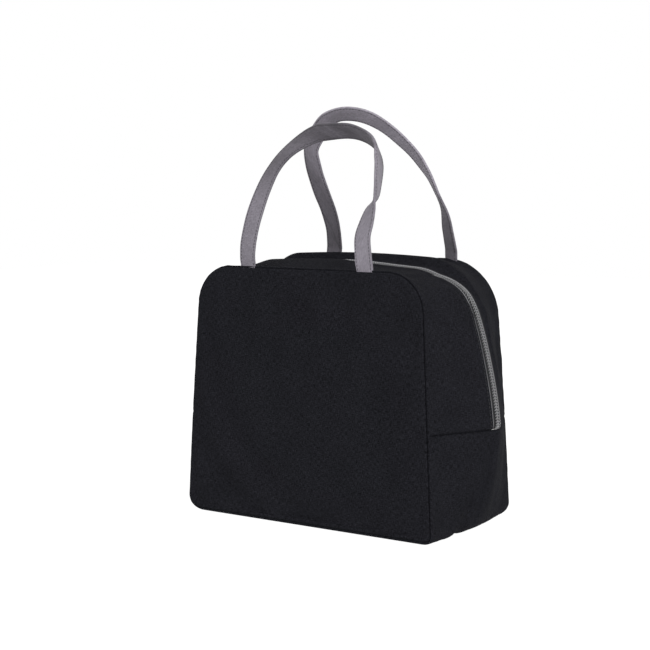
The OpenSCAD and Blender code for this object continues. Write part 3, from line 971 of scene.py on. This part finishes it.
def tube(line, reference, radii, sides):
    """Points and faces of a closed round tube along a line. reference is never along the line."""
    ahead = np.gradient(line, axis=0)
    a = unit(np.cross(ahead, reference))
    b = unit(np.cross(ahead, a))
    turn = np.arange(sides) * math.tau / sides
    ring = np.cos(turn)[:, None] * a[:, None] + np.sin(turn)[:, None] * b[:, None]
    points = line[:, None] + ring * np.broadcast_to(radii, len(line))[:, None, None]
    index = np.arange(len(line) * sides).reshape(len(line), sides)
    faces = round_quads(index).tolist() + [index[0, ::-1].tolist(), index[-1].tolist()]
    return points.reshape(-1, 3), faces


def joined(name, tubes, material):
    points, faces, start = [], [], 0
    for tube_points, tube_faces in tubes:
        points.append(tube_points)
        faces += [[start + i for i in face] for face in tube_faces]
        start += len(tube_points)
    points = np.concatenate(points)
    obj = new_mesh(name, points, faces)
    dress(obj, points[:, [0, 2]], material, sharp=80)
    return obj


STITCH_LENGTH, STITCH_GAP, THREAD_R = 2.5, 0.6, 0.22
STITCH_SHAPE = ((0.0, 0.35, -0.3), (0.2, 1.0, 0.0), (0.5, 1.0, 0.08), (0.8, 1.0, 0.0), (1.0, 0.35, -0.3))


def stitch_row(line, out):
    """Tubes of one row of stitches on a surface line. out holds the surface's normals."""
    total = arc_lengths(line, 0)[-1]
    share, size, rise = np.array(STITCH_SHAPE).T
    tubes = []
    for start in np.arange(STITCH_GAP, total - STITCH_LENGTH, STITCH_LENGTH + STITCH_GAP):
        places = start + share * STITCH_LENGTH
        up = unit(resample(out, line, places))
        tubes.append(tube(resample(line, line, places) + up * rise[:, None], up, THREAD_R * size, 6))
    return tubes


# ---- zip
# Coil: distance between turns, slant of a turn, its ends across the tape, rise and depth of its wire
COIL_PITCH, COIL_LEAN = 2.4, 1.1
COIL_IN, COIL_OUT, COIL_RISE, COIL_DEPTH = 0.25, 3.1, 0.8, 0.5
FILAMENT_R, TURN_STEPS = 0.32, 10
STRIP_EDGE = {FRONT: 6.4, BACK: 3.3}
HEM = 2.2

# Columns of the zip tape from the middle out, and how far each stands above the tape's seat
TAPE_COLUMNS = ((0.4, 0), (2, 0), (3.6, 0), (4.3, 0.1), (4.8, 1.0), (5.4, 1.3), (6.0, 1.0), (6.5, 0.1),
                (9, 0), (TAPE_W, 0))


def surface_line(side, y):
    """Line of the gusset's surface beside the zip, from the right over the top to the left."""
    columns = [(side, 0, y)]
    return (gusset_surface(columns) + shifts_for(columns, outer_shift))[0][UPPER_ROWS]


def out_of_line(line):
    """Normals, out of the bag, of a line that runs over it from right to left."""
    ahead = unit(np.gradient(line, axis=0))
    return np.stack([ahead[:, 2], np.zeros(len(line)), -ahead[:, 0]], 1)


def zip_coil(side):
    """Half of the coil: one filament wound into flat slanted loops along the tape's edge."""
    line = surface_line(side, 0)
    out = out_of_line(line)
    turns = int((arc_lengths(line, 0)[-1] - 2 * COIL_LEAN) / COIL_PITCH)
    t = np.arange(turns * TURN_STEPS) * math.tau / TURN_STEPS
    places = COIL_LEAN + t / math.tau * COIL_PITCH - COIL_LEAN * np.cos(t)
    up = unit(resample(out, line, places))
    middle, half = (COIL_IN + COIL_OUT) / 2, (COIL_OUT - COIL_IN) / 2 - FILAMENT_R / 2
    across = side * (middle + half * np.cos(t))
    wire = resample(line, line, places) + up * (COIL_RISE * np.sin(t) - COIL_DEPTH)[:, None]
    wire[:, 1] = across
    reference = np.stack([-up[:, 2], np.zeros(len(up)), up[:, 0]], 1)
    obj = joined(f"{NAMES[side]}_coil", [tube(wire, reference, FILAMENT_R, 6)], COIL)
    bend(obj)
    finish_piece(obj, "zip_coil", f"zip_coil_{NAMES[side]}", "zip_coil_ends")


def zip_tape(side):
    """One half of the zip tape; the front one has a raised rib beside the coil."""
    rows = TAPE_COLUMNS if side == BACK else TAPE_COLUMNS[::-1]
    columns = [(side, 0, y) for y, _ in rows]
    lifts = [lift if side == FRONT else 0 for _, lift in rows]
    name = NAMES[side]
    gusset_layer(f"{name}_tape", "zip_tape", (f"zip_tape_{name}", "zip_tape_ends"), columns, UPPER_ROWS,
                 f"{name}_strip_pad", side, lifts)


def zip_stitching(side):
    """The row of stitches that holds the strip's hem to the zip tape."""
    line = surface_line(side, STRIP_EDGE[side] + HEM)
    obj = joined(f"{NAMES[side]}_zip_stitches", stitch_row(line, out_of_line(line)), THREAD)
    bend(obj)


def softened(node_name, piece_name):
    """A casting: the CAD solid with its edges rounded over."""
    source = frame["nodes"][node_name]
    obj = new_object(piece_name, source.data.copy())
    obj.matrix_world = source.matrix_world
    obj.data.materials.clear()
    obj.data.materials.append(METAL)
    modify(obj, "WELD", merge_threshold=0.01 * MM)
    modify(obj, "DECIMATE", decimate_type="DISSOLVE", angle_limit=math.radians(2))
    modify(obj, "BEVEL", width=0.25 * MM, segments=3, limit_method="ANGLE",
           angle_limit=math.radians(40), harden_normals=True)
    apply_modifiers(obj)
    obj.data.set_sharp_from_angle(angle=math.radians(35))
    return obj


def slider():
    for node_name, body in (("slider_body", "slider"), ("pull_tab", "pull")):
        obj = softened(node_name, f"{body}_casting")
        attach(obj, body)
        finish_piece(obj, "zip_metal", node_name)


# ---- handles
HANDLE_LEAN = math.radians(23.6)
STRAP_W = 15.6
ROUTE_STEPS = 10
ROOT_TUCK = 3.2  # the strap's ends come out of the seam from behind the panel

# Route of each strap in its own leaning plane: x, height above its seam, twist in degrees
ROUTES = {
    FRONT: [(-62, -2, -4), (-63, 6, -4), (-67, 24, 6), (-68, 45, 10), (-66, 68, 5), (-60, 91, -5),
            (-47, 110, -8), (-26, 124, 18), (-8, 127, 48), (17, 126, 60), (40, 115, 68), (49, 98, 84),
            (53, 78, 76), (54, 66, 66), (52, 55, 28), (51, 42, 8), (51, 28, 2), (58, 6, 2), (59, -2, 2)],
    BACK: [(72, -2, 20), (72, 6, 22), (73, 26, 26), (74, 46, 40), (70, 65, 46), (64, 85, 34), (51, 107, 20),
           (28, 129, 15), (4, 138, 16), (-20, 136, 30), (-36, 124, 18), (-50, 108, -4),
           (-53, 89, 8), (-52, 68, 12), (-49, 46, 6), (-49, 27, 0), (-53, 6, 2), (-54, -2, 2)]}

# Half of the strap's section: distance from its middle, and half thickness there
STRAP_SECTION = ((0, 1.15), (3, 1.2), (5, 1.2), (5.8, 1.05), (6.3, 0.9), (6.8, 1.05), (7.2, 1.05),
                 (7.6, 0.8), (7.8, 0.35))
STITCH_LINE, STITCH_STAND = 6.3, 0.98


def smooth_route(route):
    """Catmull-Rom curve through the route's points."""
    p = np.array(route, float)
    p = np.concatenate([p[:1], p, p[-1:]])
    t = np.linspace(0, 1, ROUTE_STEPS, endpoint=False)[:, None]
    parts = [0.5 * (2 * b + (c - a) * t + (2 * a - 5 * b + 4 * c - d) * t ** 2
                    + (3 * b - a - 3 * c + d) * t ** 3)
             for a, b, c, d in zip(p, p[1:], p[2:], p[3:])]
    return np.concatenate([*parts, p[-1:]])


def strap_seam(side):
    """Middle of the seam that a strap is sewn into."""
    return np.array([0, side * half_depth(PANEL_H[side]), PANEL_H[side]])


def handle_frame(side):
    """Centre line of a handle, and its width and thickness directions, in the bag's frame."""
    route = smooth_route(ROUTES[side])
    turn = np.radians(route[:, 2])[:, None]
    step = unit(np.gradient(route[:, :2], axis=0))
    none = np.zeros(len(step))
    ahead = np.stack([step[:, 0], none, step[:, 1]], 1)
    flat = np.stack([step[:, 1], none, -step[:, 0]], 1)
    wide = flat * np.cos(turn) + np.array([0, 1, 0]) * np.sin(turn)
    thin = np.cross(ahead, wide)
    tucked = ROOT_TUCK * (1 - smooth((route[:, 1] + 2) / 12))
    local = np.stack([route[:, 0], tucked, route[:, 1]], 1)
    sin, cos = math.sin(HANDLE_LEAN), math.cos(HANDLE_LEAN)
    lean = np.array([[1, 0, 0], [0, -side * cos, -sin], [0, -side * sin, cos]])
    return local @ lean + strap_seam(side), wide @ lean, thin @ lean


def strap_bow(places, across):
    """How far the strap's face bows and ripples out of its flat, by place along and across it."""
    bow = 0.45 * np.sin(places / 31 + 1) * (1 - (across / (STRAP_W / 2)) ** 2)
    ripple = 0.22 * np.sin(places / 6.1 + across / 7) * np.sin(places / 17.3 + 2)
    return bow + ripple


def strap_surface(side, across, stand):
    """Line along a handle at a distance across it and a height off its middle layer, and its normals."""
    centre, wide, thin = handle_frame(side)
    places = arc_lengths(centre, 0)
    line = centre + wide * across + thin * (stand + strap_bow(places, across))[:, None]
    return line, thin * np.sign(stand)


def handle(side):
    """A strap and its four rows of stitches."""
    name = NAMES[side]
    upper = [(-u, t) for u, t in STRAP_SECTION[:0:-1]] + list(STRAP_SECTION)
    ring = upper + [(u, -t) for u, t in upper[::-1]]
    lines = np.array([strap_surface(side, u, t)[0] for u, t in ring])
    index = np.arange(lines.shape[0] * lines.shape[1]).reshape(lines.shape[:2])
    faces = grid_quads(np.concatenate([index, index[:1]])).tolist()
    faces += [index[:, 0].tolist(), index[::-1, -1].tolist()]
    if side == BACK:
        faces = [face[::-1] for face in faces]
    along = arc_lengths(lines, 1)
    across = np.array([u for u, _ in ring])[:, None] * np.ones(lines.shape[1])
    obj = new_mesh(f"{name}_strap", lines.reshape(-1, 3), faces)
    dress(obj, uv_pairs(across, along), STRAPS_CLOTH[side])
    rows = []
    for across_at in (-STITCH_LINE, STITCH_LINE):
        for face in (-1, 1):
            rows += stitch_row(*strap_surface(side, across_at, face * STITCH_STAND))
    stitches = joined(f"{name}_strap_stitches", rows, STRAP_THREAD)
    for piece in (obj, stitches):
        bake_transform(piece)
    finish_piece(obj, "strap", f"{name}_handle")


for side in SIDES:
    panels(side)
    strips(side)
    binding(side)
    zip_tape(side)
    zip_coil(side)
    zip_stitching(side)
    handle(side)
base()
slider()


# ---- camera, floor and light
CAMERA_AT, CAMERA_AIM = (0.7334, -1.0757, 0.2945), (-0.0229, 0, 0.1664)
CAMERA_LENS, CAMERA_ROLL = 82.4, math.radians(-0.26)

# Lamps: name, watts, width and place in metres
LAMPS = (("key", 20, 0.9, (1.4, -0.7, 1.0)), ("front", 6, 1.2, (-0.5, -1.6, 0.9)))
LAMP_AIM = (0, 0, 0.12)
FLOOR_HALF = 3000


def place(name, data, location, aim):
    """Puts a camera or lamp at a location, turned towards a point."""
    obj = configure(new_object(name, data), location=location, rotation_mode="QUATERNION")
    obj.rotation_quaternion = (Vector(aim) - Vector(location)).to_track_quat("-Z", "Y")
    return obj


def set_camera():
    camera = configure(bpy.data.cameras.new("camera"), lens=CAMERA_LENS, sensor_width=36)
    held_at = place("camera", camera, CAMERA_AT, CAMERA_AIM)
    held_at.rotation_quaternion = held_at.rotation_quaternion @ Quaternion((0, 0, 1), CAMERA_ROLL)
    bpy.context.scene.camera = held_at


def set_light():
    bpy.context.scene.view_settings.view_transform = "Standard"
    world = bpy.data.worlds.new("studio")
    world.use_nodes = True
    background = world.node_tree.nodes["Background"].inputs
    background["Color"].default_value = (1, 1, 1, 1)
    background["Strength"].default_value = 1.0
    bpy.context.scene.world = world
    for name, power, size, at in LAMPS:
        lamp = configure(bpy.data.lights.new(name, "AREA"), energy=power, size=size)
        place(name, lamp, at, LAMP_AIM)


def set_floor():
    """A pale sweep that fades into the white background."""
    corners = [(x * FLOOR_HALF, y * FLOOR_HALF, 0) for x, y in ((-1, -1), (1, -1), (1, 1), (-1, 1))]
    floor = new_mesh("floor", corners, [(0, 1, 2, 3)])
    white = new_material("floor", Roughness=0.9, Specular_IOR_Level=0, Base_Color=(0.1, 0.1, 0.1, 1),
                         Emission_Color=(1, 1, 1, 1), Emission_Strength=1.0)[0]
    floor.data.materials.append(white)


set_camera()
set_light()
set_floor()
